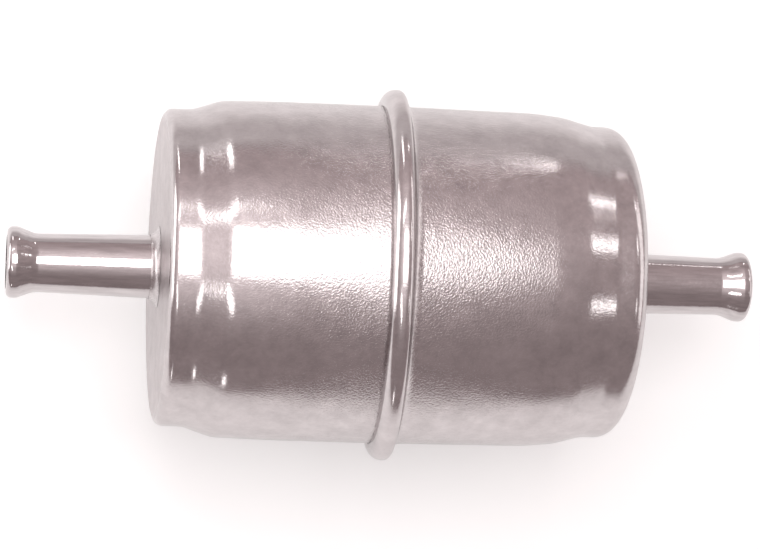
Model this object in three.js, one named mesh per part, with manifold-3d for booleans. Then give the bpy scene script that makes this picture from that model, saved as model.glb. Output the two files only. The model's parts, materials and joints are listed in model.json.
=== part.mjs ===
// In-line fuel filter for a small engine: a sealed steel can in two pressed halves, rolled together
// at a seam round the middle, with a beaded hose tube at each end and a spring-loaded pleated
// paper element inside.
//
// Millimetres. The axis of the can is X, from the inlet (-X) to the outlet (+X). +Z is up and the
// filter lies on its side. The origin is the middle of the overall length, on the axis.
import * as THREE from "three";
import { mergeVertices } from "three/addons/utils/BufferGeometryUtils.js";
import Module from "manifold-3d";

const wasm = await Module();
wasm.setup();

// ---- Driving dimensions -------------------------------------------------------------------

const OVERALL_LENGTH = 99.9;
const MOUTH_X = OVERALL_LENGTH / 2;
const CLEARANCE = 0.1; // between pieces that touch on the real filter

// Facets round each kind of piece.
const CAN_FACETS = 36;
const TUBE_FACETS = 18;
const ELEMENT_FACETS = 24;
const DEGREES_PER_STEP = 32; // of a bend in a sheet

// The can: both halves are deep-drawn from one gauge of sheet.
const CAN = {
  sheet: 0.6,
  neckRadius: 20.98, // the reduced end, outside
  shoulderRadius: 22.33, // the barrel beside its step, outside
  barrelRadius: 22.54, // the barrel beside the seam, outside
  footBend: 4, // where the step rises from the neck
};
const INLET_HALF = {
  endX: -30.1,
  cornerRadius: 1.2,
  neckLength: 3.8,
  stepLength: 3.9, // of the slope between neck and barrel
  shoulderBend: 5,
};
const OUTLET_HALF = {
  endX: 31.6,
  cornerRadius: 2.4,
  neckLength: 4.3,
  stepLength: 4.9,
  shoulderBend: 12,
};

// The seam: the outlet half's flange is rolled over the inlet half's flange and a sealing ring.
const SEAM = {
  centreX: 0.35,
  crestRadius: 24.78,
  hemRadius: 1.75, // of the rolled bead, outside
  rootBend: 0.8, // where the barrel turns up into the bead
  inletFlangeX: 0,
  inletFlangeTop: 23.75,
  toeGap: 0.2, // from the edge of the hem down to the inlet barrel
};
const SEALING_RING = { width: 0.95, height: 1.4, x: 0.9, radius: 22.85 };

// The hose tubes, 8 mm (5/16 in) over the middle of the hose's length.
const TUBE = {
  wall: 0.7,
  mouthRadius: 3.9,
  beadRadius: 4.72,
  neckRadius: 3.86, // just behind the bead, outside
  lipToCrest: 1.4,
  crestToNeck: 2.2,
};
const INLET_TUBE = { rootRadius: 4.2, innerX: -28.4 };
const OUTLET_TUBE = { rootRadius: 4.1, innerX: 24.6 };
const BRAZE = { fillet: 1, tip: 0.12, margin: 2.6 };

// The element: pleated paper round a perforated core, potted into two pressed caps.
const PAPER = {
  fromX: -17.9,
  toX: 24,
  pleats: 32,
  thickness: 0.55,
  outerRadius: 16.9, // of the middle of the paper
  innerRadius: 8.7,
  outerFold: 0.8, // width of the flat at each outer fold
  innerFold: 0.5,
};
const CORE = {
  outerRadius: 7.6,
  innerRadius: 7.1,
  holeRadius: 1.5,
  holeSides: 6,
  holeRows: 5,
  holesPerRow: 6,
};
const CAP = { sheet: 0.5, rimRadius: 18.2, rimLength: 4, bend: 0.7 };
const INLET_CAP = { plateX: -20.9, bossX: -22.2, bossRadius: 4.8 };
const OUTLET_CAP = { plateX: 26.75, holeRadius: 6.3 };
const POTTING = { radius: 17.85, holeRadius: 8, chamfer: 0.5 };
const CLIP = { thickness: 0.25, halfWidth: 1.2, depth: 2.7, topRadius: 17.6 };

// The rubber grommet seals the element on the outlet tube and against the end of the can.
const GROMMET = { boreGap: 0.12, innerFlange: 7.4, outerFlange: 7.8, innerLength: 1.2 };

// The spring holds the element against the outlet end.
const SPRING = {
  wire: 1,
  largeRadius: 8.5,
  smallRadius: 6.2,
  turns: 4.5,
  closedTurns: 1, // at each end
  wireSides: 6,
  stepsPerTurn: 16,
};

// ---- Materials ----------------------------------------------------------------------------

const material = (color, roughness, metalness) =>
  new THREE.MeshStandardMaterial({ color, roughness, metalness });

const ZINC_PLATE = material(0xb9b0ae, 0.32, 1);
const BRIGHT_PLATE = material(0xaaa2a0, 0.22, 1);
const BRAZE_METAL = material(0xb3a9a4, 0.35, 1);
const TINPLATE = material(0x9d9c98, 0.38, 1);
const SPRING_STEEL = material(0x77777a, 0.3, 1);
const FILTER_PAPER = material(0xd9c48a, 0.9, 0);
const PLASTISOL = material(0x8c3a2a, 0.55, 0);
const NITRILE = material(0x1c1c1d, 0.6, 0);
const SEALANT = material(0x2c2a29, 0.7, 0);

// ---- Outlines: points are (position along the axis, radius) -----------------------------------

const point = (x, r) => new THREE.Vector2(x, r);

// A path through corners [x, r, bendRadius], with an arc at each corner that has a bend radius.
function bentPath(corners) {
  const path = [];
  corners.forEach(([x, r, bend], i) => {
    const corner = point(x, r);
    if (!bend) {
      path.push(corner);
      return;
    }
    const [before, after] = [corners[i - 1], corners[i + 1]].map(([u, v]) => point(u, v));
    const back = before.sub(corner).normalize();
    const ahead = after.sub(corner).normalize();
    const turn = Math.PI - back.angleTo(ahead);
    const toTangent = bend * Math.tan(turn / 2);
    const start = corner.clone().addScaledVector(back, toTangent);
    const middle = back.clone().add(ahead).normalize();
    const centre = corner.clone().addScaledVector(middle, bend / Math.cos(turn / 2));
    const spoke = start.sub(centre);
    const side = Math.sign(back.cross(ahead)) * -1;
    const steps = Math.max(1, Math.round((turn * 180) / Math.PI / DEGREES_PER_STEP));
    for (let k = 0; k <= steps; k++) {
      const angle = (side * turn * k) / steps;
      path.push(spoke.clone().rotateAround(point(0, 0), angle).add(centre));
    }
  });
  return path.filter((p, i) => i === 0 || p.distanceTo(path[i - 1]) > 1e-3);
}

// The closed outline of a sheet of even thickness whose middle follows a path. A path that starts
// on the axis gives an outline that starts and ends there.
function sheetOutline(path, thickness) {
  const sides = [[], []];
  path.forEach((p, i) => {
    const before = path[Math.max(i - 1, 0)];
    const after = path[Math.min(i + 1, path.length - 1)];
    const along = after.clone().sub(before).normalize();
    const across = point(-along.y, along.x).multiplyScalar(thickness / 2);
    sides[0].push(p.clone().add(across));
    sides[1].push(p.clone().sub(across));
  });
  const outline = [...sides[0], ...sides[1].reverse()];
  return path[0].y === 0 ? outline : [...outline, outline[0]];
}

// ---- Geometry helpers -------------------------------------------------------------------------

// Twice the signed area of an outline, which tells which way round it runs.
const windingOf = (outline) =>
  outline.reduce((sum, p, i) => sum + p.cross(outline[(i + 1) % outline.length]), 0);

// The solid that an outline sweeps round the X axis.
function revolved(outline, facets) {
  const profile = windingOf(outline) < 0 ? outline : [...outline].reverse();
  const turned = profile.map((p) => point(p.y, p.x));
  return new THREE.LatheGeometry(turned, facets).rotateZ(-Math.PI / 2);
}

const closed = (points) => [...points, points[0]];

// A flat outline in the YZ plane drawn out along X.
function drawnOut(shape, fromX, toX) {
  const geometry = new THREE.ExtrudeGeometry(shape, {
    depth: toX - fromX,
    bevelEnabled: false,
  });
  const toAxis = new THREE.Matrix4().makeBasis(
    new THREE.Vector3(0, 1, 0),
    new THREE.Vector3(0, 0, 1),
    new THREE.Vector3(1, 0, 0),
  );
  return geometry.applyMatrix4(toAxis).translate(fromX, 0, 0);
}

function solidOf(geometry) {
  const bare = geometry.clone();
  bare.deleteAttribute("normal");
  bare.deleteAttribute("uv");
  const merged = mergeVertices(bare, 1e-4);
  return new wasm.Manifold(
    new wasm.Mesh({
      numProp: 3,
      vertProperties: merged.attributes.position.array,
      triVerts: new Uint32Array(merged.index.array),
    }),
  );
}

function geometryOf(solid) {
  const mesh = solid.getMesh();
  const geometry = new THREE.BufferGeometry();
  geometry.setAttribute("position", new THREE.BufferAttribute(mesh.vertProperties, 3));
  geometry.setIndex(new THREE.BufferAttribute(mesh.triVerts, 1));
  return geometry;
}

// ---- The can ----------------------------------------------------------------------------------

// The middle of the sheet of one half, from the hole for its tube to the end of its barrel at
// seamX. side is -1 for the inlet half and 1 for the outlet half.
function halfCorners(half, side, rootRadius, seamX, seamBend) {
  const { endX, cornerRadius, neckLength, stepLength, shoulderBend } = half;
  const inset = CAN.sheet / 2;
  const stepX = endX - side * neckLength;
  const faceX = endX - side * inset;
  return [
    [faceX, rootRadius + CLEARANCE],
    [faceX, rootRadius + BRAZE.margin],
    [faceX, CAN.neckRadius - inset, cornerRadius - inset],
    [stepX, CAN.neckRadius - inset, CAN.footBend],
    [stepX - side * stepLength, CAN.shoulderRadius - inset, shoulderBend],
    [seamX, CAN.barrelRadius - inset, seamBend],
  ];
}

function inletShell() {
  const flangeBend = CAN.sheet;
  const path = bentPath([
    ...halfCorners(INLET_HALF, -1, INLET_TUBE.rootRadius, SEAM.inletFlangeX, flangeBend),
    [SEAM.inletFlangeX, SEAM.inletFlangeTop],
  ]);
  return revolved(sheetOutline(path, CAN.sheet), CAN_FACETS);
}

function outletShell() {
  const middle = SEAM.hemRadius - CAN.sheet / 2;
  const riseX = SEAM.centreX + middle;
  const toeX = SEAM.centreX - middle;
  const crest = SEAM.crestRadius - CAN.sheet / 2;
  const path = bentPath([
    ...halfCorners(OUTLET_HALF, 1, OUTLET_TUBE.rootRadius, riseX, SEAM.rootBend),
    [riseX, crest, middle],
    [toeX, crest, middle],
    [toeX, CAN.barrelRadius + SEAM.toeGap],
  ]);
  return revolved(sheetOutline(path, CAN.sheet), CAN_FACETS);
}

function sealingRing() {
  const { width, height, x, radius } = SEALING_RING;
  const chamfer = width / 3;
  const [left, right] = [x - width / 2, x + width / 2];
  const [low, high] = [radius - height / 2, radius + height / 2];
  return revolved(
    closed([
      point(left + chamfer, low),
      point(right - chamfer, low),
      point(right, low + chamfer),
      point(right, high - chamfer),
      point(right - chamfer, high),
      point(left + chamfer, high),
      point(left, high - chamfer),
      point(left, low + chamfer),
    ]),
    CAN_FACETS,
  );
}

// ---- The hose tubes -----------------------------------------------------------------------------

// The middle of a tube's wall, from its mouth past the bead to the hole in the can.
function tubeCorners(side, rootRadius, endX) {
  const inset = TUBE.wall / 2;
  const crestX = side * (MOUTH_X - TUBE.lipToCrest);
  return [
    [side * (MOUTH_X - inset), TUBE.mouthRadius - inset],
    [side * (MOUTH_X - inset), TUBE.beadRadius - inset, inset * 1.2],
    [crestX, TUBE.beadRadius - inset, TUBE.lipToCrest],
    [crestX - side * TUBE.crestToNeck, TUBE.neckRadius - inset, TUBE.crestToNeck],
    [endX + side * BRAZE.fillet, rootRadius - inset],
  ];
}

function inletTube() {
  const { rootRadius, innerX } = INLET_TUBE;
  const inset = TUBE.wall / 2;
  const lipX = innerX - 2 * inset;
  const path = bentPath([
    ...tubeCorners(-1, rootRadius, INLET_HALF.endX),
    [lipX, rootRadius - inset, TUBE.wall],
    [innerX, rootRadius],
  ]);
  return revolved(sheetOutline(path, TUBE.wall), TUBE_FACETS);
}

function outletTube() {
  const { rootRadius, innerX } = OUTLET_TUBE;
  const path = bentPath([
    ...tubeCorners(1, rootRadius, OUTLET_HALF.endX),
    [innerX, rootRadius - TUBE.wall / 2],
  ]);
  return revolved(sheetOutline(path, TUBE.wall), TUBE_FACETS);
}

// The hollow fillet of braze between a tube and the end of the can.
function brazeRing(side, rootRadius, endX) {
  const { fillet, tip } = BRAZE;
  const faceX = endX + side * CLEARANCE / 2;
  const inner = rootRadius + CLEARANCE;
  const centre = point(faceX + side * (fillet + tip), inner + fillet + tip);
  const arc = [0, 1, 2, 3].map((k) => {
    const angle = (Math.PI / 2) * (k / 3);
    return point(centre.x - side * fillet * Math.sin(angle), centre.y - fillet * Math.cos(angle));
  });
  const outline = [point(faceX, inner), point(centre.x, inner), ...arc, point(faceX, centre.y)];
  return revolved(closed(outline), TUBE_FACETS);
}

// ---- The element --------------------------------------------------------------------------------

// The closed middle line of the pleated paper: four corners for each pleat.
function pleatLine() {
  const { pleats, outerRadius, innerRadius, outerFold, innerFold } = PAPER;
  const line = [];
  for (let k = 0; k < pleats; k++) {
    for (const [turn, radius, fold] of [
      [k, outerRadius, outerFold],
      [k + 0.5, innerRadius, innerFold],
    ]) {
      const centre = Math.PI / 2 + (turn / pleats) * 2 * Math.PI;
      for (const half of [-1, 1]) {
        const angle = centre + (half * fold) / 2 / radius;
        line.push(point(radius * Math.cos(angle), radius * Math.sin(angle)));
      }
    }
  }
  return line;
}

// A closed line moved sideways by a distance, with mitred corners.
function offsetLoop(loop, distance) {
  return loop.map((p, i) => {
    const into = p.clone().sub(loop[(i + loop.length - 1) % loop.length]).normalize();
    const outOf = loop[(i + 1) % loop.length].clone().sub(p).normalize();
    const normal = point(into.y + outOf.y, -into.x - outOf.x).normalize();
    const mitre = distance / Math.max(0.4, normal.dot(point(into.y, -into.x)));
    return p.clone().addScaledVector(normal, mitre);
  });
}

function pleatedPaper() {
  const line = pleatLine();
  const shape = new THREE.Shape(offsetLoop(line, PAPER.thickness / 2));
  shape.holes.push(new THREE.Path(offsetLoop(line, -PAPER.thickness / 2).reverse()));
  return drawnOut(shape, PAPER.fromX, PAPER.toX);
}

// The metal strip that joins the two ends of the paper, crimped over one outer fold.
function pleatClip() {
  const { thickness, halfWidth, depth, topRadius } = CLIP;
  const inside = halfWidth - thickness;
  const shape = new THREE.Shape([
    point(-halfWidth, topRadius - depth),
    point(-inside, topRadius - depth),
    point(-inside, topRadius - thickness),
    point(inside, topRadius - thickness),
    point(inside, topRadius - depth),
    point(halfWidth, topRadius - depth),
    point(halfWidth, topRadius),
    point(-halfWidth, topRadius),
  ]);
  return drawnOut(shape, PAPER.fromX + CLEARANCE, PAPER.toX - CLEARANCE);
}

function perforatedCore() {
  const { outerRadius, innerRadius, holeRadius, holeSides, holeRows, holesPerRow } = CORE;
  const wall = closed([
    point(PAPER.fromX, innerRadius),
    point(PAPER.toX, innerRadius),
    point(PAPER.toX, outerRadius),
    point(PAPER.fromX, outerRadius),
  ]);
  let tube = solidOf(revolved(wall, ELEMENT_FACETS));
  const pitch = (PAPER.toX - PAPER.fromX) / holeRows;
  for (let row = 0; row < holeRows; row++) {
    for (let k = 0; k < holesPerRow; k++) {
      const punch = new THREE.CylinderGeometry(holeRadius, holeRadius, outerRadius, holeSides);
      punch.translate(0, outerRadius, 0);
      punch.rotateX(((k + (row % 2) / 2) / holesPerRow) * 2 * Math.PI);
      punch.translate(PAPER.fromX + (row + 0.5) * pitch, 0, 0);
      tube = tube.subtract(solidOf(punch));
    }
  }
  return geometryOf(tube);
}

// The closed cap, with a boss that centres the spring.
function inletCap() {
  const { plateX, bossX, bossRadius } = INLET_CAP;
  const slope = CAP.sheet;
  const path = bentPath([
    [bossX, 0],
    [bossX, bossRadius, CAP.bend],
    [plateX, bossRadius + slope, CAP.bend],
    [plateX, CAP.rimRadius, CAP.bend],
    [plateX + CAP.rimLength, CAP.rimRadius],
  ]);
  return revolved(sheetOutline(path, CAP.sheet), ELEMENT_FACETS);
}

function outletCap() {
  const { plateX, holeRadius } = OUTLET_CAP;
  const path = bentPath([
    [plateX, holeRadius],
    [plateX, CAP.rimRadius, CAP.bend],
    [plateX - CAP.rimLength, CAP.rimRadius],
  ]);
  return revolved(sheetOutline(path, CAP.sheet), ELEMENT_FACETS);
}

// The potting fills the corner of its cap, whose bend it follows with a chamfer.
function inletPotting() {
  const fromX = INLET_CAP.plateX + CAP.sheet / 2 + CLEARANCE;
  const toX = PAPER.fromX - CLEARANCE;
  return revolved(
    [
      point(fromX, 0),
      point(fromX, POTTING.radius - POTTING.chamfer),
      point(fromX + POTTING.chamfer, POTTING.radius),
      point(toX, POTTING.radius),
      point(toX, 0),
    ],
    ELEMENT_FACETS,
  );
}

function outletPotting() {
  const fromX = PAPER.toX + CLEARANCE;
  const toX = OUTLET_CAP.plateX - CAP.sheet / 2 - CLEARANCE;
  return revolved(
    closed([
      point(fromX, POTTING.holeRadius),
      point(fromX, POTTING.radius),
      point(toX - POTTING.chamfer, POTTING.radius),
      point(toX, POTTING.radius - POTTING.chamfer),
      point(toX, POTTING.holeRadius),
    ]),
    ELEMENT_FACETS,
  );
}

function grommet() {
  const { boreGap, innerFlange, outerFlange, innerLength } = GROMMET;
  const bore = OUTLET_TUBE.rootRadius + boreGap;
  const groove = OUTLET_CAP.holeRadius - CLEARANCE;
  const grooveFrom = OUTLET_CAP.plateX - CAP.sheet / 2 - CLEARANCE / 2;
  const grooveTo = OUTLET_CAP.plateX + CAP.sheet / 2 + CLEARANCE / 2;
  const seatX = OUTLET_HALF.endX - CAN.sheet - CLEARANCE;
  return revolved(
    closed([
      point(grooveFrom - innerLength, bore),
      point(grooveFrom - innerLength, innerFlange - innerLength / 2),
      point(grooveFrom - innerLength / 2, innerFlange),
      point(grooveFrom, innerFlange),
      point(grooveFrom, groove),
      point(grooveTo, groove),
      point(grooveTo, outerFlange),
      point(seatX, outerFlange),
      point(seatX, bore),
    ]),
    ELEMENT_FACETS,
  );
}

// ---- The spring -----------------------------------------------------------------------------------

// A tapering coil along X whose end turns lie closed.
class SpringLine extends THREE.Curve {
  constructor(fromX, toX) {
    super();
    Object.assign(this, { fromX, toX });
  }

  getPoint(t, target = new THREE.Vector3()) {
    const { turns, closedTurns, wire, largeRadius, smallRadius } = SPRING;
    const closedRise = wire * 1.05;
    const openPitch = (this.toX - this.fromX - 2 * closedTurns * closedRise) /
      (turns - 2 * closedTurns);
    const turn = t * turns;
    const open = THREE.MathUtils.clamp(turn - closedTurns, 0, turns - 2 * closedTurns);
    const x = this.fromX + (turn - open) * closedRise + open * openPitch;
    const radius = THREE.MathUtils.lerp(largeRadius, smallRadius, t);
    const angle = turn * 2 * Math.PI;
    return target.set(x, radius * Math.cos(angle), radius * Math.sin(angle));
  }
}

function spring() {
  const { wire, wireSides, turns, stepsPerTurn } = SPRING;
  const fromX = INLET_HALF.endX + CAN.sheet + CLEARANCE + wire / 2;
  const toX = INLET_CAP.plateX - CAP.sheet / 2 - CLEARANCE - wire / 2;
  const section = new THREE.Shape();
  for (let k = 0; k < wireSides; k++) {
    const angle = (k / wireSides) * 2 * Math.PI;
    const corner = [(wire / 2) * Math.cos(angle), (wire / 2) * Math.sin(angle)];
    if (k === 0) section.moveTo(...corner);
    else section.lineTo(...corner);
  }
  return new THREE.ExtrudeGeometry(section, {
    steps: Math.round(turns * stepsPerTurn),
    bevelEnabled: false,
    extrudePath: new SpringLine(fromX, toX),
  });
}

// ---- Assembly -------------------------------------------------------------------------------------

const filter = new THREE.Group();

function add(parent, name, geometry, finish) {
  const mesh = new THREE.Mesh(geometry, finish);
  mesh.name = name;
  parent.add(mesh);
}

const housing = new THREE.Group();
add(housing, "inlet_shell", inletShell(), ZINC_PLATE);
add(housing, "outlet_shell", outletShell(), ZINC_PLATE);
add(housing, "seam_sealing_ring", sealingRing(), SEALANT);
add(housing, "inlet_tube", inletTube(), BRIGHT_PLATE);
add(housing, "outlet_tube", outletTube(), BRIGHT_PLATE);
add(
  housing,
  "inlet_braze_ring",
  brazeRing(-1, INLET_TUBE.rootRadius, INLET_HALF.endX),
  BRAZE_METAL,
);
add(
  housing,
  "outlet_braze_ring",
  brazeRing(1, OUTLET_TUBE.rootRadius, OUTLET_HALF.endX),
  BRAZE_METAL,
);
add(housing, "retaining_spring", spring(), SPRING_STEEL);

const element = new THREE.Group();
add(element, "inlet_end_cap", inletCap(), TINPLATE);
add(element, "inlet_potting", inletPotting(), PLASTISOL);
add(element, "pleated_paper", pleatedPaper(), FILTER_PAPER);
add(element, "pleat_clip", pleatClip(), TINPLATE);
add(element, "perforated_core", perforatedCore(), TINPLATE);
add(element, "outlet_potting", outletPotting(), PLASTISOL);
add(element, "outlet_end_cap", outletCap(), TINPLATE);
add(element, "outlet_grommet", grommet(), NITRILE);

filter.add(housing, element);

export default filter;
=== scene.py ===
"""In-line fuel filter: a zinc-plated steel can in two halves rolled together at a seam, with a beaded
hose tube at each end and a spring-loaded pleated paper element inside.

The filter lies on its side along X on a pale floor, seen from above. Outlines are in millimetres and
become metres when a mesh is made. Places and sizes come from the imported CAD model; the constants
below add only the detail that its boxes don't give.
"""

import json
import math

import bpy
from mathutils import Matrix, Vector


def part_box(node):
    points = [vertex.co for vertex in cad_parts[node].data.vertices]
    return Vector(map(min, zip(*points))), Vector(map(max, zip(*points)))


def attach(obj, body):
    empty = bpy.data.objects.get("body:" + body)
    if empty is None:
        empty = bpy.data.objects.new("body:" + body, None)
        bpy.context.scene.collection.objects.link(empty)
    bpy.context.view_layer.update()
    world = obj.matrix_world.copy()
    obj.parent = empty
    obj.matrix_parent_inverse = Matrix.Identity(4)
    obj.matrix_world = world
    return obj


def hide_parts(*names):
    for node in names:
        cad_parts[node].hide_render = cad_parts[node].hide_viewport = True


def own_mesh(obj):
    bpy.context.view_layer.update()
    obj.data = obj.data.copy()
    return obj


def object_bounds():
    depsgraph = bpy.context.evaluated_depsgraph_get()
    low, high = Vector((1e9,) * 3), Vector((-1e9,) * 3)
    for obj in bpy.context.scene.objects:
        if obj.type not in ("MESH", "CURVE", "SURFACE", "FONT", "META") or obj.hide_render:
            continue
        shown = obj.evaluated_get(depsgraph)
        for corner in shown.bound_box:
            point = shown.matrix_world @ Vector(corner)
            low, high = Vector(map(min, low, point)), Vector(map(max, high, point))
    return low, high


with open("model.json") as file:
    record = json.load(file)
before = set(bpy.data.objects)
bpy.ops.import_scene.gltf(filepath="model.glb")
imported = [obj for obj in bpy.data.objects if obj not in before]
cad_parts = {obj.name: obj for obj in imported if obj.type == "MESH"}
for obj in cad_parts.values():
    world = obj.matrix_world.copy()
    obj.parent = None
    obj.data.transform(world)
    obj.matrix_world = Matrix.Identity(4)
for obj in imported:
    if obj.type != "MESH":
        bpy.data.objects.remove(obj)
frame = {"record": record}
CAD_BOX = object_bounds()

MM = 0.001

# ---- Dimensions, mm ------------------------------------------------------------------------------

SHEET = 0.6
NECK_RADIUS = 20.98
BARREL_RADIUS = 22.54
FOOT_BEND = 3.6
TUBE_HOLE_GAP = 0.1

INLET_HALF = {
    "corner": 1.2,
    "neck": 3.8,
    "step": 3.9,
    "shoulder": 22.3,
    "shoulder_bend": 4.5,
    "crown_x": -14.0,
    "crown": 22.48,
    "crown_bend": 60.0,
}
OUTLET_HALF = {
    "corner": 2.4,
    "neck": 4.3,
    "step": 4.0,
    "shoulder": 22.03,
    "shoulder_bend": 7.0,
    "crown_x": 19.5,
    "crown": 22.4,
    "crown_bend": 20.0,
}

HEM_TOE_X = -0.9  # the middle of the sheet at each side of the hem
HEM_RISE_X = 1.3
HEM_CENTRE_X = 0.35
HEM_TOE_BEND = 1.5
HEM_CREST_BEND = 0.55
HEM_ROOT_BEND = 1.6
HEM_TOE_GAP = 0.04
FLANGE_DROP = 1.0  # from the crest of the hem down to the edge of the flange inside it
HEM_SLANT = 0.25  # how far the outlet side of the hem spreads along X towards its root
SEAM_LEAN = 1.5  # how far the rolled seam wanders along X round the can
SEAM_LEAN_TURN = -0.1  # radians, from the top of the can as it lies
SEAM_LEAN_REACH = 7.0
SEALING_DEPTH = 1.4
SEALING_GAP = 0.03
SEALING_BEND = 0.3

TUBE_WALL = 0.7
INLET_ROOT_RADIUS = 4.2
OUTLET_ROOT_RADIUS = 4.1
TUBE_TAPER_END = 1.6  # from the can's face to where the tube reaches its root radius
BRAZE_TIP = 0.06
BRAZE_SWEEP = math.radians(72)
BEAD_LIP = 1.4  # from the mouth to the crest of the bead
BEAD_SLOPE = 2.2
BEAD_MOUTH_BEND = 0.42
BEAD_NECK_BEND = 3.52
TUBE_NECK_RADIUS = 3.86
MOUTH_RADIUS = 3.9

CAP_SHEET = 0.5
CAP_RIM = 4.0
CAP_BEND = 0.7
BOSS_RADIUS = 4.8
BOSS_FLARE = 0.5
OUTLET_CAP_HOLE = 6.3
INLET_POTTING_HOLE = 0.5
OUTLET_POTTING_HOLE = 8.0
POTTING_BEND = 0.45

GROMMET_STEP = 0.4
GROMMET_BEND = 0.12
GROMMET_BORE_GAP = 0.12
GROMMET_GROOVE_GAP = 0.1
GROMMET_PLATE_GAP = 0.05

PLEATS = 32
PLEAT_INNER_RADIUS = 8.7
OUTER_FOLD = 0.42
INNER_FOLD = 0.28
SHARPEST_MITRE = 0.5
PAPER_THICKNESS = 0.55
CLIP_WALL = 0.25
CLIP_BEVEL = 0.1
CORE_WALL = 0.5
CORE_HOLE_RADIUS = 1.5
CORE_HOLE_ROWS = 5
CORE_HOLES_PER_ROW = 6
PUNCH_MARGIN = 1

WIRE = 1.0
SPRING_TURNS = 4.5
SPRING_CLOSED_TURNS = 1.0
SPRING_CLOSED_RISE = 1.05  # along X in one closed turn, in wire diameters
SPRING_TAPER = 2.3

CREASE = 40  # degrees between two faces, above which their edge is sharp
PAPER_CREASE = 75
ARC_STEP = 9  # degrees between two points of a bend
SMALL_ARC_STEP = 22
CAN_FACETS = 240
TUBE_FACETS = 96
ELEMENT_FACETS = 144
BRAZE_STEPS = 16
FOLD_STEPS = 6
CORE_HOLE_FACETS = 24
WIRE_FACETS = 16
SPRING_STEPS_PER_TURN = 64

# ---- Where the can's finish changes, mm ----------------------------------------------------------

GRAIN_FADE_X = (4.0, 21.5)
GRAIN_STRENGTH = (1.35, 0.25)  # by the seam and towards the ends
ROLLED_RADIUS = (22.65, 23.1)  # the rolling tool has smoothed the seam outside this
DULL_RADIUS = (19.2, 20.2)  # the end faces are duller inside this

# ---- Floor, room and camera ----------------------------------------------------------------------

FLOOR_HALF = 3000
# painted shade on the floor: it turns grey between these Y positions, mm
FLOOR_SHADE_Y = (45, 85)

ROOM_FADE_Y = (-0.6, 0.6)
ROOM_STRENGTH = (0.36, 0.55)  # on the -Y side and on the +Y side
ROOM_TINT = (1.0, 0.81, 0.818)
GLOW_TOWARDS = (-0.1, 0.25, 0.96)
GLOW_TIGHTNESS = 4.5
GLOW_TINT = (1.0, 0.93, 0.935)
GLOW_EDGE = (0.13, 0.21)  # along X of the direction
GLOW_STRENGTH = (0.9, 0.15)  # before that edge and past it

LIGHT_COLOR = (1.0, 0.985, 0.98)
LIGHTS = {  # name: centre and size in metres, radiance
    "soft_box": ((-0.025, 0.09, 0.42), (0.21, 0.22), 3.6),
    "left_upper_window": ((-0.15, 0.35, 0.42), (0.045, 0.24), 4.5),
    "left_low_window": ((-0.15, -0.15, 0.42), (0.045, 0.17), 4.5),
    "left_far_window": ((-0.15, 0.62, 0.06), (0.22, 0.06), 4.5),
    "left_near_window": ((-0.13, -0.58, 0.1), (0.05, 0.05), 5.0),
    "left_window": ((-0.45, 0.1, 0.11), (0.22, 0.45), 2.4),
    "right_window": ((0.39, 0.24, 0.42), (0.05, 0.1), 3.5),
    "right_low_window": ((0.38, -0.14, 0.42), (0.05, 0.06), 3.5),
    "right_high_window": ((0.5, 0.62, 0.3), (0.06, 0.1), 3.5),
    "right_side_window": ((0.55, 0.12, 0.2), (0.26, 0.7), 1.0),
    "far_window": ((0.16, 0.6, 0.06), (0.03, 0.04), 9.0),
}

CAMERA_LENS = 131.5
CAMERA_SENSOR = 36
CAMERA_SWING = math.radians(-8.93)  # about Y, towards the inlet end
CAMERA_ROLL = math.radians(2.0)
CAMERA_PLACE = (-0.375, 0.047, 371.2)

# ---- The frame's places, mm ----------------------------------------------------------------------

RECORD = frame["record"]
BODY_OF = {n: body for body, nodes in RECORD["behaviour"]["bodies"].items() for n in nodes}


def span(node):
    """Lowest and highest corner of a CAD node, in millimetres."""
    low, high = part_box(node)
    return low / MM, high / MM


def length_of(node):
    low, high = span(node)
    return low.x, high.x


def radius_of(node):
    return span(node)[1].z


# ---- Outlines: points are (position along X, radius) ---------------------------------------------


def bent_path(corners, arc_step=ARC_STEP):
    """A path through corners (x, r) or (x, r, bend radius), with an arc at each bend."""
    path = []
    for i, corner in enumerate(corners):
        at = Vector(corner[:2])
        if len(corner) < 3:
            path.append(at)
            continue
        back = (Vector(corners[i - 1][:2]) - at).normalized()
        ahead = (Vector(corners[i + 1][:2]) - at).normalized()
        turn = math.pi - back.angle(ahead)
        bend = corner[2]
        start = at + back * bend * math.tan(turn / 2)
        centre = at + (back + ahead).normalized() * bend / math.cos(turn / 2)
        side = 1 if back.x * ahead.y - back.y * ahead.x < 0 else -1
        steps = max(2, round(math.degrees(turn) / arc_step))
        for k in range(steps + 1):
            spoke = start - centre
            spoke.rotate(Matrix.Rotation(side * turn * k / steps, 2))
            path.append(centre + spoke)
    return [p for i, p in enumerate(path) if i == 0 or (p - path[i - 1]).length > 1e-4]


def sheet_outline(path, thickness):
    """The closed outline of a sheet of even thickness whose middle follows a path."""
    sides = ([], [])
    for i, p in enumerate(path):
        along = (path[min(i + 1, len(path) - 1)] - path[max(i - 1, 0)]).normalized()
        across = Vector((-along.y, along.x)) * thickness / 2
        sides[0].append(p + across)
        sides[1].append(p - across)
    return sides[0] + sides[1][::-1]


def rounded(points, radius):
    """A closed outline with every corner off the axis rounded."""
    corners = [(x, r, radius) if r > 0 else (x, r) for x, r in points]
    looped = [corners[-1]] + corners + [corners[0]]
    path = []
    for i in range(1, len(looped) - 1):
        ends = (looped[i - 1][:2], looped[i], looped[i + 1][:2])
        bent = len(looped[i]) == 3
        path += bent_path(ends, SMALL_ARC_STEP)[1:-1] if bent else [Vector(looped[i])]
    return path


# ---- Meshes --------------------------------------------------------------------------------------


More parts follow.
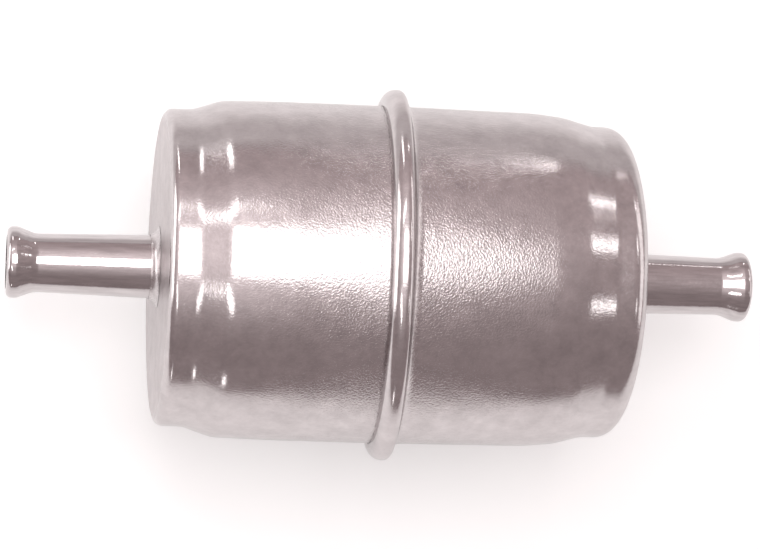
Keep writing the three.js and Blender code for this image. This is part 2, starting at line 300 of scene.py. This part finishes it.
def mesh_piece(name, points, faces, crease=CREASE):
    """A smooth-shaded object from points in millimetres, with sharp edges above an angle."""
    mesh = bpy.data.meshes.new(name)
    mesh.from_pydata([Vector(p) * MM for p in points], [], faces)
    mesh.validate()
    mesh.shade_smooth()
    mesh.set_sharp_from_angle(angle=math.radians(crease))
    piece = bpy.data.objects.new(name, mesh)
    bpy.context.scene.collection.objects.link(piece)
    return piece


def revolved(name, outline, facets, bend=None):
    """The solid that a closed outline sweeps round X. bend(x, r, angle) may shift each point."""
    area = sum(p.x * q.y - p.y * q.x for p, q in zip(outline, outline[1:] + outline[:1]))
    outline = outline if area > 0 else outline[::-1]
    points = []
    rows = []
    for p in outline:
        count = facets if p.y > 1e-6 else 1
        rows.append([len(points) + k % count for k in range(facets)])
        for k in range(count):
            angle = 2 * math.pi * k / facets
            x, r = bend(p.x, p.y, angle) if bend else p
            points.append((x, r * math.sin(angle), r * math.cos(angle)))
    faces = []
    for row, after in zip(rows, rows[1:] + rows[:1]):
        for k in range(facets):
            ahead = (k + 1) % facets
            corners = (row[k], after[k], after[ahead], row[ahead])
            face = tuple(dict.fromkeys(corners))
            if len(face) > 2:
                faces.append(face)
    return mesh_piece(name, points, faces)


def drawn_out(name, outer, inner, x0, x1, crease=CREASE):
    """A solid along X between two closed loops in the YZ plane, or a plain prism if inner is None."""
    count = len(outer)
    loops = [(x0, outer), (x1, outer)] + ([(x1, inner), (x0, inner)] if inner else [])
    points = [(x, p.x, p.y) for x, loop in loops for p in loop]
    faces = []
    rows = len(loops)
    for row in range(rows if inner else 1):
        low, high = row * count, (row + 1) % rows * count
        for k in range(count):
            ahead = (k + 1) % count
            faces.append((low + k, low + ahead, high + ahead, high + k))
    if not inner:
        faces.append(tuple(range(count))[::-1])
        faces.append(tuple(range(count, 2 * count)))
    return mesh_piece(name, points, faces, crease)


def stands_for(piece, node, material):
    """The piece rides with its CAD node's body, replaces the node and takes its finish."""
    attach(piece, BODY_OF[node])
    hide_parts(node)
    piece.data.materials.append(material)
    return piece


# ---- Materials -----------------------------------------------------------------------------------


def add_node(tree, kind, links=None, **settings):
    """A node with its settings; each link is an output to join or a constant for that input."""
    made = tree.nodes.new(kind)
    for key, value in settings.items():
        setattr(made, key, value)
    for socket, value in (links or {}).items():
        if isinstance(value, bpy.types.NodeSocket):
            tree.links.new(value, made.inputs[socket])
        else:
            made.inputs[socket].default_value = value
    return made


class Finish:
    """A Principled material whose patterns come from noise in the object's own space, in metres."""

    def __init__(self, name, color, roughness, metallic=0.0, **sockets):
        self.material = bpy.data.materials.new(name)
        self.material.use_nodes = True
        self.tree = self.material.node_tree
        self.shader = self.tree.nodes["Principled BSDF"]
        self.shader.inputs["Base Color"].default_value = (*color, 1)
        self.shader.inputs["Roughness"].default_value = roughness
        self.shader.inputs["Metallic"].default_value = metallic
        for socket, value in sockets.items():
            self.shader.inputs[socket.replace("_", " ")].default_value = value
        self.coords = self.tree.nodes.new("ShaderNodeTexCoord").outputs["Object"]
        self.normal = None

    def node(self, kind, links=None, **settings):
        return add_node(self.tree, kind, links, **settings)

    def combine(self, operation, *values):
        return self.node("ShaderNodeMath", dict(enumerate(values)), operation=operation).outputs[0]

    def noise(self, size, detail=2.0, rough=0.5, stretch=(1, 1, 1), warp=0.0):
        """Noise whose features are about size millimetres across, longer along stretch."""
        scale = [1 / (size * MM * s) for s in stretch]
        placed = self.node("ShaderNodeVectorMath", {0: self.coords, 1: scale}, operation="MULTIPLY")
        links = {
            "Vector": placed.outputs[0],
            "Scale": 1.0,
            "Detail": detail,
            "Roughness": rough,
            "Distortion": warp,
        }
        return self.node("ShaderNodeTexNoise", links).outputs["Fac"]

    def ramp(self, factor, stops):
        """Colours at positions along a factor."""
        made = self.node("ShaderNodeValToRGB", {"Fac": factor})
        elements = made.color_ramp.elements
        while len(elements) < len(stops):
            elements.new(0.5)
        for element, (position, color) in zip(elements, stops):
            element.position = position
            element.color = (*color, 1)
        return made.outputs["Color"]

    def between(self, factor, low, high, start=0.3, end=0.7):
        """Slides from low to high as the factor goes from start to end."""
        links = {"Value": factor, 1: start, 2: end, 3: low, 4: high}
        return self.node("ShaderNodeMapRange", links).outputs["Result"]

    def bump(self, height, depth):
        """Adds relief of depth millimetres."""
        links = {"Height": height, "Distance": depth * MM, "Strength": 1.0}
        if self.normal:
            links["Normal"] = self.normal
        self.normal = self.node("ShaderNodeBump", links).outputs["Normal"]
        self.tree.links.new(self.normal, self.shader.inputs["Normal"])

    def feed(self, socket, output):
        """Joins an output to one of the shader's own sockets."""
        self.tree.links.new(output, self.shader.inputs[socket])


def zinc_plate():
    """Cloudy plate with fine grain on the barrel, a smoother seam and duller end faces."""
    edge = (0.85, 0.84, 0.84, 1)
    finish = Finish("zinc_plated_steel", (0.57, 0.54, 0.542), 0.15, metallic=1.0, Specular_Tint=edge)
    mottle = finish.noise(3.5, detail=6, rough=0.75)
    tones = [(0.3, (0.49, 0.462, 0.464)), (0.7, (0.65, 0.615, 0.617))]
    finish.feed("Base Color", finish.ramp(mottle, tones))
    finish.bump(finish.noise(9.0, detail=1), 0.03)
    along = finish.node("ShaderNodeSeparateXYZ", {0: finish.coords}).outputs["X"]
    distance = finish.combine("ABSOLUTE", along)
    ends = finish.between(distance, *GRAIN_STRENGTH, *[x * MM for x in GRAIN_FADE_X])
    flat = finish.node("ShaderNodeVectorMath", {0: finish.coords, 1: (0, 1, 1)}, operation="MULTIPLY")
    length = finish.node("ShaderNodeVectorMath", {0: flat.outputs[0]}, operation="LENGTH")
    radius = length.outputs["Value"]
    rolled = finish.between(radius, 1.0, 0.1, *[r * MM for r in ROLLED_RADIUS])
    dull = finish.between(radius, 0.24, 0.0, *[r * MM for r in DULL_RADIUS])
    gloss = finish.between(finish.noise(0.4, detail=3, rough=0.7), 0.09, 0.22)
    finish.feed("Roughness", finish.combine("ADD", gloss, dull))
    strength = finish.combine("MULTIPLY", ends, rolled)
    grain = finish.noise(0.26, detail=2, rough=0.6)
    finish.bump(finish.combine("MULTIPLY", grain, strength), 0.05)
    return finish.material


def bright_tube():
    finish = Finish("bright_tube", (0.55, 0.52, 0.522), 0.09, metallic=1.0)
    finish.feed("Roughness", finish.between(finish.noise(0.5, detail=3), 0.06, 0.14))
    streaks = finish.noise(0.5, detail=4, stretch=(8, 1, 1))
    tones = [(0.3, (0.48, 0.453, 0.455)), (0.7, (0.6, 0.567, 0.57))]
    finish.feed("Base Color", finish.ramp(streaks, tones))
    finish.bump(finish.noise(0.35, detail=2), 0.006)
    return finish.material


def braze():
    finish = Finish("braze", (0.55, 0.52, 0.522), 0.2, metallic=1.0)
    clouds = finish.noise(1.2, detail=4)
    tones = [(0.3, (0.47, 0.443, 0.445)), (0.7, (0.6, 0.567, 0.57))]
    finish.feed("Base Color", finish.ramp(clouds, tones))
    finish.feed("Roughness", finish.between(finish.noise(0.8, detail=4), 0.22, 0.38))
    finish.bump(finish.noise(0.7, detail=2), 0.012)
    return finish.material


def tinplate():
    finish = Finish("tinplate", (0.6, 0.6, 0.58), 0.35, metallic=1.0)
    clouds = finish.noise(4.0, detail=5)
    tones = [(0.35, (0.5, 0.5, 0.48)), (0.65, (0.66, 0.66, 0.63))]
    finish.feed("Base Color", finish.ramp(clouds, tones))
    finish.feed("Roughness", finish.between(finish.noise(1.5, detail=4), 0.28, 0.45))
    finish.bump(finish.noise(0.5, detail=2), 0.004)
    return finish.material


def spring_steel():
    finish = Finish("spring_steel", (0.42, 0.42, 0.43), 0.3, metallic=1.0)
    clouds = finish.noise(1.0, detail=4)
    tones = [(0.3, (0.36, 0.36, 0.37)), (0.7, (0.48, 0.48, 0.49))]
    finish.feed("Base Color", finish.ramp(clouds, tones))
    finish.feed("Roughness", finish.between(finish.noise(0.6, detail=4), 0.22, 0.42))
    finish.bump(finish.noise(0.25, detail=3), 0.004)
    return finish.material


def filter_paper():
    finish = Finish("filter_paper", (0.76, 0.62, 0.34), 0.9, Sheen_Weight=0.15)
    fibres = finish.noise(0.5, detail=6, rough=0.7, stretch=(2.5, 1, 1), warp=1.0)
    tones = [(0.3, (0.62, 0.48, 0.24)), (0.7, (0.82, 0.7, 0.42))]
    finish.feed("Base Color", finish.ramp(fibres, tones))
    finish.bump(fibres, 0.03)
    return finish.material


def plastisol():
    finish = Finish("plastisol", (0.36, 0.08, 0.05), 0.45, Coat_Weight=0.2)
    clouds = finish.noise(3.0, detail=3)
    tones = [(0.3, (0.3, 0.06, 0.04)), (0.7, (0.42, 0.11, 0.07))]
    finish.feed("Base Color", finish.ramp(clouds, tones))
    finish.bump(finish.noise(2.0, detail=2), 0.05)
    return finish.material


def black_rubber(name, roughness):
    finish = Finish(name, (0.025, 0.025, 0.025), roughness)
    clouds = finish.noise(1.0, detail=5)
    tones = [(0.3, (0.018, 0.018, 0.018)), (0.7, (0.045, 0.043, 0.042))]
    finish.feed("Base Color", finish.ramp(clouds, tones))
    finish.bump(finish.noise(0.3, detail=3), 0.01)
    return finish.material


ZINC = zinc_plate()
TUBE = bright_tube()
BRAZE = braze()
TIN = tinplate()
STEEL = spring_steel()
PAPER = filter_paper()
PLASTISOL = plastisol()
NITRILE = black_rubber("nitrile_rubber", 0.6)
SEALANT = black_rubber("seam_sealant", 0.75)

# ---- The can -------------------------------------------------------------------------------------

SEAM_CREST = radius_of("outlet_shell")
INLET_FACE_X = length_of("inlet_shell")[0]
OUTLET_FACE_X = length_of("outlet_shell")[1]


def lean(x, r, angle):
    """The rolled seam wanders a little along X, fading out towards the ends of the can."""
    near = math.exp(-(((x - HEM_CENTRE_X) / SEAM_LEAN_REACH) ** 2))
    return x - SEAM_LEAN * near * math.cos(angle - SEAM_LEAN_TURN), r


def half_corners(half, face_x, side, root_radius, seam_x, seam_bend):
    """The middle of the sheet of one half, from the tube's hole to the end of the barrel."""
    inset = SHEET / 2
    foot_x = face_x - side * half["neck"]
    return [
        (face_x - side * inset, root_radius + TUBE_HOLE_GAP),
        (face_x - side * inset, NECK_RADIUS - inset, half["corner"] - inset),
        (foot_x, NECK_RADIUS - inset, FOOT_BEND),
        (foot_x - side * half["step"], half["shoulder"] - inset, half["shoulder_bend"]),
        (half["crown_x"], half["crown"] - inset, half["crown_bend"]),
        (seam_x, BARREL_RADIUS - inset, seam_bend),
    ]


def inlet_shell():
    flange_x = length_of("inlet_shell")[1] - SHEET / 2
    corners = half_corners(INLET_HALF, INLET_FACE_X, -1, INLET_ROOT_RADIUS, flange_x, SHEET)
    path = bent_path([*corners, (flange_x, SEAM_CREST - FLANGE_DROP)])
    return revolved("inlet_shell_fine", sheet_outline(path, SHEET), CAN_FACETS, lean)


def outlet_shell():
    crest = SEAM_CREST - SHEET / 2
    root_x = HEM_RISE_X + HEM_SLANT
    corners = half_corners(OUTLET_HALF, OUTLET_FACE_X, 1, OUTLET_ROOT_RADIUS, root_x, HEM_ROOT_BEND)
    hem = [
        (HEM_RISE_X, crest, HEM_CREST_BEND),
        (HEM_TOE_X, crest, HEM_TOE_BEND),
        (HEM_TOE_X, BARREL_RADIUS + HEM_TOE_GAP),
    ]
    path = bent_path([*corners, *hem])
    return revolved("outlet_shell_fine", sheet_outline(path, SHEET), CAN_FACETS, lean)


def sealing_ring():
    x0 = length_of("seam_sealing_ring")[0]
    x1 = HEM_RISE_X - SHEET / 2 - SEALING_GAP
    high = radius_of("seam_sealing_ring")
    low = high - SEALING_DEPTH
    ring = rounded([(x0, low), (x1, low), (x1, high), (x0, high)], SEALING_BEND)
    return revolved("seam_sealing_ring_fine", ring, CAN_FACETS, lean)


stands_for(inlet_shell(), "inlet_shell", ZINC)
stands_for(outlet_shell(), "outlet_shell", ZINC)
stands_for(sealing_ring(), "seam_sealing_ring", SEALANT)

# ---- The hose tubes ------------------------------------------------------------------------------


def tube_corners(node, side, root_radius, root_x):
    """The middle of a tube's wall, from its mouth past the bead to the can."""
    inset = TUBE_WALL / 2
    mouth_x = length_of(node)[0 if side < 0 else 1]
    bead = radius_of(node) - inset
    crest_x = mouth_x - side * BEAD_LIP
    return [
        (mouth_x - side * inset, MOUTH_RADIUS - inset),
        (mouth_x - side * inset, bead, BEAD_MOUTH_BEND),
        (crest_x, bead, BEAD_LIP),
        (crest_x - side * BEAD_SLOPE, TUBE_NECK_RADIUS - inset, BEAD_NECK_BEND),
        (root_x, root_radius - inset),
    ]


def inlet_tube():
    inset = TUBE_WALL / 2
    end_x = length_of("inlet_tube")[1] - inset
    root_x = INLET_FACE_X - TUBE_TAPER_END
    corners = tube_corners("inlet_tube", -1, INLET_ROOT_RADIUS, root_x)
    flare = [(end_x - 2 * inset, INLET_ROOT_RADIUS - inset, TUBE_WALL), (end_x, INLET_ROOT_RADIUS)]
    path = bent_path([*corners, *flare])
    return revolved("inlet_tube_fine", sheet_outline(path, TUBE_WALL), TUBE_FACETS)


def outlet_tube():
    end_x = length_of("outlet_tube")[0]
    root_x = OUTLET_FACE_X + TUBE_TAPER_END
    corners = tube_corners("outlet_tube", 1, OUTLET_ROOT_RADIUS, root_x)
    path = bent_path([*corners, (end_x, OUTLET_ROOT_RADIUS - TUBE_WALL / 2)])
    return revolved("outlet_tube_fine", sheet_outline(path, TUBE_WALL), TUBE_FACETS)


def braze_ring(node, side, root_radius):
    """The hollow fillet of braze between a tube and the end of the can."""
    x0, x1 = length_of(node)
    face_x, tip_x = (x1, x0) if side < 0 else (x0, x1)
    inner = root_radius + TUBE_HOLE_GAP / 2
    long = abs(tip_x - face_x)
    high = radius_of(node) - inner - BRAZE_TIP
    arc = []
    for k in range(BRAZE_STEPS + 1):
        angle = BRAZE_SWEEP * k / BRAZE_STEPS
        x = tip_x - side * long * math.sin(angle) / math.sin(BRAZE_SWEEP)
        rise = high * (1 - math.cos(angle)) / (1 - math.cos(BRAZE_SWEEP))
        arc.append(Vector((x, inner + BRAZE_TIP + rise)))
    outline = [Vector((face_x, inner)), Vector((tip_x, inner)), *arc]
    return revolved(f"{node}_fine", outline, TUBE_FACETS)


stands_for(inlet_tube(), "inlet_tube", TUBE)
stands_for(outlet_tube(), "outlet_tube", TUBE)
stands_for(braze_ring("inlet_braze_ring", -1, INLET_ROOT_RADIUS), "inlet_braze_ring", BRAZE)
stands_for(braze_ring("outlet_braze_ring", 1, OUTLET_ROOT_RADIUS), "outlet_braze_ring", BRAZE)

# ---- The element ---------------------------------------------------------------------------------


def inlet_cap():
    x0, x1 = length_of("inlet_end_cap")
    inset = CAP_SHEET / 2
    boss_x, plate_x = x0 + inset, x1 - CAP_RIM
    rim = radius_of("inlet_end_cap") - inset
    path = bent_path(
        [
            (boss_x, 0),
            (boss_x, BOSS_RADIUS, CAP_BEND),
            (plate_x, BOSS_RADIUS + BOSS_FLARE, CAP_BEND),
            (plate_x, rim, CAP_BEND),
            (x1, rim),
        ]
    )
    return revolved("inlet_end_cap_fine", sheet_outline(path, CAP_SHEET), ELEMENT_FACETS)


def outlet_cap():
    x0, x1 = length_of("outlet_end_cap")
    inset = CAP_SHEET / 2
    rim = radius_of("outlet_end_cap") - inset
    path = bent_path([(x1 - inset, OUTLET_CAP_HOLE), (x1 - inset, rim, CAP_BEND), (x0, rim)])
    return revolved("outlet_end_cap_fine", sheet_outline(path, CAP_SHEET), ELEMENT_FACETS)


def potting(node, hole):
    x0, x1 = length_of(node)
    high = radius_of(node)
    outline = rounded([(x0, hole), (x1, hole), (x1, high), (x0, high)], POTTING_BEND)
    return revolved(f"{node}_fine", outline, ELEMENT_FACETS)


def grommet():
    """A rubber ring whose groove holds the edge of the cap's hole."""
    x0, x1 = length_of("outlet_grommet")
    high = radius_of("outlet_grommet")
    low = high - GROMMET_STEP
    bore = OUTLET_ROOT_RADIUS + GROMMET_BORE_GAP
    plate_x = length_of("outlet_end_cap")[1]
    groove = OUTLET_CAP_HOLE - GROMMET_GROOVE_GAP
    groove_x0 = plate_x - CAP_SHEET - GROMMET_PLATE_GAP
    groove_x1 = plate_x + GROMMET_PLATE_GAP
    inside = [(x0, bore), (x0, low), (groove_x0, low), (groove_x0, groove)]
    outside = [(groove_x1, groove), (groove_x1, high), (x1, high), (x1, bore)]
    outline = rounded(inside + outside, GROMMET_BEND)
    return revolved("outlet_grommet_fine", outline, ELEMENT_FACETS)


def pleat_loops():
    """The two sides of the pleated paper, with rounded folds."""
    outer = radius_of("pleated_paper") - PAPER_THICKNESS / 2
    line = []
    for k in range(2 * PLEATS):
        at_outer = k % 2 == 0
        radius = outer if at_outer else PLEAT_INNER_RADIUS
        fold = OUTER_FOLD if at_outer else INNER_FOLD
        inward = -1 if at_outer else 1
        centre = math.pi / 2 + math.pi * k / PLEATS
        for j in range(FOLD_STEPS + 1):
            sweep = -math.pi / 2 + math.pi * j / FOLD_STEPS
            along = fold * math.sin(sweep)
            depth = inward * fold * (1 - math.cos(sweep))
            turn = centre + along / radius
            line.append(Vector((math.cos(turn), math.sin(turn))) * (radius + depth))
    loops = []
    for side in (1, -1):
        loop = []
        for i, p in enumerate(line):
            into = (p - line[i - 1]).normalized()
            out = (line[(i + 1) % len(line)] - p).normalized()
            normal = Vector((into.y + out.y, -into.x - out.x)).normalized()
            turned = normal.dot(Vector((into.y, -into.x)))
            mitre = PAPER_THICKNESS / 2 / max(SHARPEST_MITRE, turned)
            loop.append(p + normal * side * mitre)
        loops.append(loop)
    return loops


def pleated_paper():
    outer, inner = pleat_loops()
    x0, x1 = length_of("pleated_paper")
    return drawn_out("pleated_paper_fine", outer, inner, x0, x1, PAPER_CREASE)


def pleat_clip():
    """A channel of thin metal that pinches the two ends of the paper together."""
    low, high = span("pleat_clip")
    left, right, roof = low.y + CLIP_WALL, high.y - CLIP_WALL, high.z - CLIP_WALL
    slot = [(low.y, low.z), (left, low.z), (left, roof), (right, roof), (right, low.z)]
    outline = [*slot, (high.y, low.z), (high.y, high.z), (low.y, high.z)]
    piece = drawn_out("pleat_clip_fine", [Vector(p) for p in outline], None, low.x, high.x)
    bevel = piece.modifiers.new("bevel", "BEVEL")
    bevel.width = CLIP_BEVEL * MM
    bevel.segments = 3
    return piece


def core_punches(x0, x1, low, high):
    """Round plugs in staggered rows, long enough to pass right through the core's wall."""
    pitch = (x1 - x0) / CORE_HOLE_ROWS
    sides = CORE_HOLE_FACETS
    points = []
    faces = []
    for row in range(CORE_HOLE_ROWS):
        for k in range(CORE_HOLES_PER_ROW):
            turn = 2 * math.pi * (k + row % 2 / 2) / CORE_HOLES_PER_ROW
            first = len(points)
            for reach in (low - PUNCH_MARGIN, high + PUNCH_MARGIN):
                for j in range(sides):
                    angle = 2 * math.pi * j / sides
                    x = x0 + (row + 0.5) * pitch + CORE_HOLE_RADIUS * math.cos(angle)
                    spot = Vector((x, CORE_HOLE_RADIUS * math.sin(angle), reach))
                    spot.rotate(Matrix.Rotation(turn, 3, "X"))
                    points.append(spot)
            faces.append([first + j for j in range(sides)])
            faces.append([first + 2 * sides - 1 - j for j in range(sides)])
            for j in range(sides):
                ahead = (j + 1) % sides
                faces.append([first + ahead, first + j, first + sides + j, first + sides + ahead])
    return mesh_piece("core_punches", points, faces)


def perforated_core():
    x0, x1 = length_of("perforated_core")
    high = radius_of("perforated_core")
    low = high - CORE_WALL
    wall = [Vector(p) for p in ((x0, low), (x1, low), (x1, high), (x0, high))]
    tube = revolved("perforated_core_fine", wall, ELEMENT_FACETS)
    punches = core_punches(x0, x1, low, high)
    cut = tube.modifiers.new("holes", "BOOLEAN")
    cut.operation = "DIFFERENCE"
    cut.solver = "EXACT"
    cut.object = punches
    graph = bpy.context.evaluated_depsgraph_get()
    punched = bpy.data.meshes.new_from_object(tube.evaluated_get(graph))
    tube.modifiers.clear()
    tube.data = punched
    bpy.data.objects.remove(punches)
    tube.data.shade_smooth()
    tube.data.set_sharp_from_angle(angle=math.radians(CREASE))
    return tube


stands_for(inlet_cap(), "inlet_end_cap", TIN)
stands_for(potting("inlet_potting", INLET_POTTING_HOLE), "inlet_potting", PLASTISOL)
stands_for(pleated_paper(), "pleated_paper", PAPER)
stands_for(pleat_clip(), "pleat_clip", TIN)
stands_for(perforated_core(), "perforated_core", TIN)
stands_for(potting("outlet_potting", OUTLET_POTTING_HOLE), "outlet_potting", PLASTISOL)
stands_for(outlet_cap(), "outlet_end_cap", TIN)
stands_for(grommet(), "outlet_grommet", NITRILE)

# ---- The spring ----------------------------------------------------------------------------------


def retaining_spring():
    """A tapering coil along X whose end turns lie closed."""
    low, high = span("retaining_spring")
    large = max(high.y, high.z) - WIRE / 2
    small = large - SPRING_TAPER
    from_x, to_x = low.x + WIRE / 2, high.x - WIRE / 2
    closed_rise = WIRE * SPRING_CLOSED_RISE
    open_turns = SPRING_TURNS - 2 * SPRING_CLOSED_TURNS
    open_pitch = (to_x - from_x - 2 * SPRING_CLOSED_TURNS * closed_rise) / open_turns
    steps = round(SPRING_TURNS * SPRING_STEPS_PER_TURN)
    sides = WIRE_FACETS
    points = []
    for i in range(steps + 1):
        turn = SPRING_TURNS * i / steps
        opened = min(max(turn - SPRING_CLOSED_TURNS, 0), open_turns)
        x = from_x + (turn - opened) * closed_rise + opened * open_pitch
        radius = large + (small - large) * i / steps
        angle = 2 * math.pi * turn
        out = Vector((0, math.cos(angle), math.sin(angle)))
        for j in range(sides):
            around = 2 * math.pi * j / sides
            offset = out * math.cos(around) + Vector((1, 0, 0)) * math.sin(around)
            points.append(Vector((x, 0, 0)) + out * radius + offset * WIRE / 2)
    faces = [list(range(sides))[::-1], [steps * sides + j for j in range(sides)]]
    for i in range(steps):
        for j in range(sides):
            ahead = (j + 1) % sides
            row, after = i * sides, (i + 1) * sides
            faces.append([row + j, row + ahead, after + ahead, after + j])
    return mesh_piece("retaining_spring_fine", points, faces)


spring = stands_for(retaining_spring(), "retaining_spring", STEEL)
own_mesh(spring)

# ---- Floor, light and camera ---------------------------------------------------------------------


def area_light(name, centre, size, radiance):
    """A rectangle of light. One that stands well to the side faces the filter, its second size level."""
    data = bpy.data.lights.new(name, "AREA")
    data.shape = "RECTANGLE"
    data.size, data.size_y = size
    data.energy = radiance * math.pi * size[0] * size[1]
    data.color = LIGHT_COLOR
    light = bpy.data.objects.new(name, data)
    light.location = centre
    if math.hypot(centre[0], centre[1]) > centre[2] / 2:
        light.rotation_euler = (-Vector(centre)).to_track_quat("-Z", "X").to_euler()
    bpy.context.scene.collection.objects.link(light)


def floor():
    """A pale floor that glows a little as painted light and is painted grey on the +Y side as painted
    shade, out of the camera's sight.
    """
    z = CAD_BOX[0].z / MM
    corners = [(x * FLOOR_HALF, y * FLOOR_HALF, z) for x, y in ((-1, -1), (1, -1), (1, 1), (-1, 1))]
    plane = mesh_piece("floor", corners, [(0, 1, 2, 3)])
    # painted light: the floor glows through its emission; painted shade turns it grey on the +Y side
    finish = Finish("floor_painted_glow_and_shade", (0.8, 0.79, 0.79), 0.8, Emission_Strength=0.3)
    place = finish.node("ShaderNodeSeparateXYZ", {0: finish.coords})
    painted_shade = finish.between(place.outputs["Y"], 0.0, 1.0, *[y * MM for y in FLOOR_SHADE_Y])
    pale = finish.ramp(painted_shade, [(0.0, (0.86, 0.88, 0.877)), (1.0, (0.5, 0.49, 0.49))])
    cloud = finish.between(finish.noise(30.0, detail=5), 0.985, 1.0)
    tone = finish.node("ShaderNodeVectorMath", {0: pale, "Scale": cloud}, operation="SCALE").outputs[0]
    finish.feed("Base Color", tone)
    finish.feed("Emission Color", tone)
    finish.feed("Roughness", finish.between(finish.noise(2.0, detail=3), 0.75, 0.85))
    plane.data.materials.append(finish.material)


def surroundings():
    """A dim room, lighter on the +Y side, with a soft glow round the light overhead."""
    world = bpy.data.worlds.new("room")
    bpy.context.scene.world = world
    world.use_nodes = True
    tree = world.node_tree

    def vector_math(operation, links):
        return add_node(tree, "ShaderNodeVectorMath", links, operation=operation)

    def shift(value, start, low, high):
        links = {0: value, 1: start[0], 2: start[1], 3: low, 4: high}
        return add_node(tree, "ShaderNodeMapRange", links).outputs[0]

    direction = tree.nodes.new("ShaderNodeTexCoord").outputs["Generated"]
    split = add_node(tree, "ShaderNodeSeparateXYZ", {0: direction})
    room = shift(split.outputs["Y"], ROOM_FADE_Y, *ROOM_STRENGTH)
    facing = vector_math("DOT_PRODUCT", {0: direction, 1: Vector(GLOW_TOWARDS).normalized()})
    above = add_node(tree, "ShaderNodeMath", {0: facing.outputs["Value"], 1: 0.0}, operation="MAXIMUM")
    links = {0: above.outputs[0], 1: GLOW_TIGHTNESS}
    falloff = add_node(tree, "ShaderNodeMath", links, operation="POWER")
    shade = shift(split.outputs["X"], GLOW_EDGE, *GLOW_STRENGTH)
    glow = add_node(tree, "ShaderNodeMath", {0: falloff.outputs[0], 1: shade}, operation="MULTIPLY")
    walls = vector_math("SCALE", {0: ROOM_TINT, "Scale": room})
    ceiling = vector_math("SCALE", {0: GLOW_TINT, "Scale": glow.outputs[0]})
    total = vector_math("ADD", {0: walls.outputs[0], 1: ceiling.outputs[0]})
    tree.links.new(total.outputs[0], tree.nodes["Background"].inputs["Color"])


def camera():
    """The camera looks down on the filter, turned so that the outlet end is the farther one."""
    data = bpy.data.cameras.new("camera")
    data.lens = CAMERA_LENS
    data.sensor_width = CAMERA_SENSOR
    data.clip_start = 0.01
    data.clip_end = 20
    eye = bpy.data.objects.new("camera", data)
    turn = Matrix.Rotation(CAMERA_SWING, 4, "Y") @ Matrix.Rotation(CAMERA_ROLL, 4, "Z")
    eye.matrix_world = turn @ Matrix.Translation(Vector(CAMERA_PLACE) * MM)
    bpy.context.scene.collection.objects.link(eye)
    bpy.context.scene.camera = eye


floor()
surroundings()
for light_name, light_settings in LIGHTS.items():
    area_light(light_name, *light_settings)
camera()

bpy.context.scene.view_settings.view_transform = "Standard"
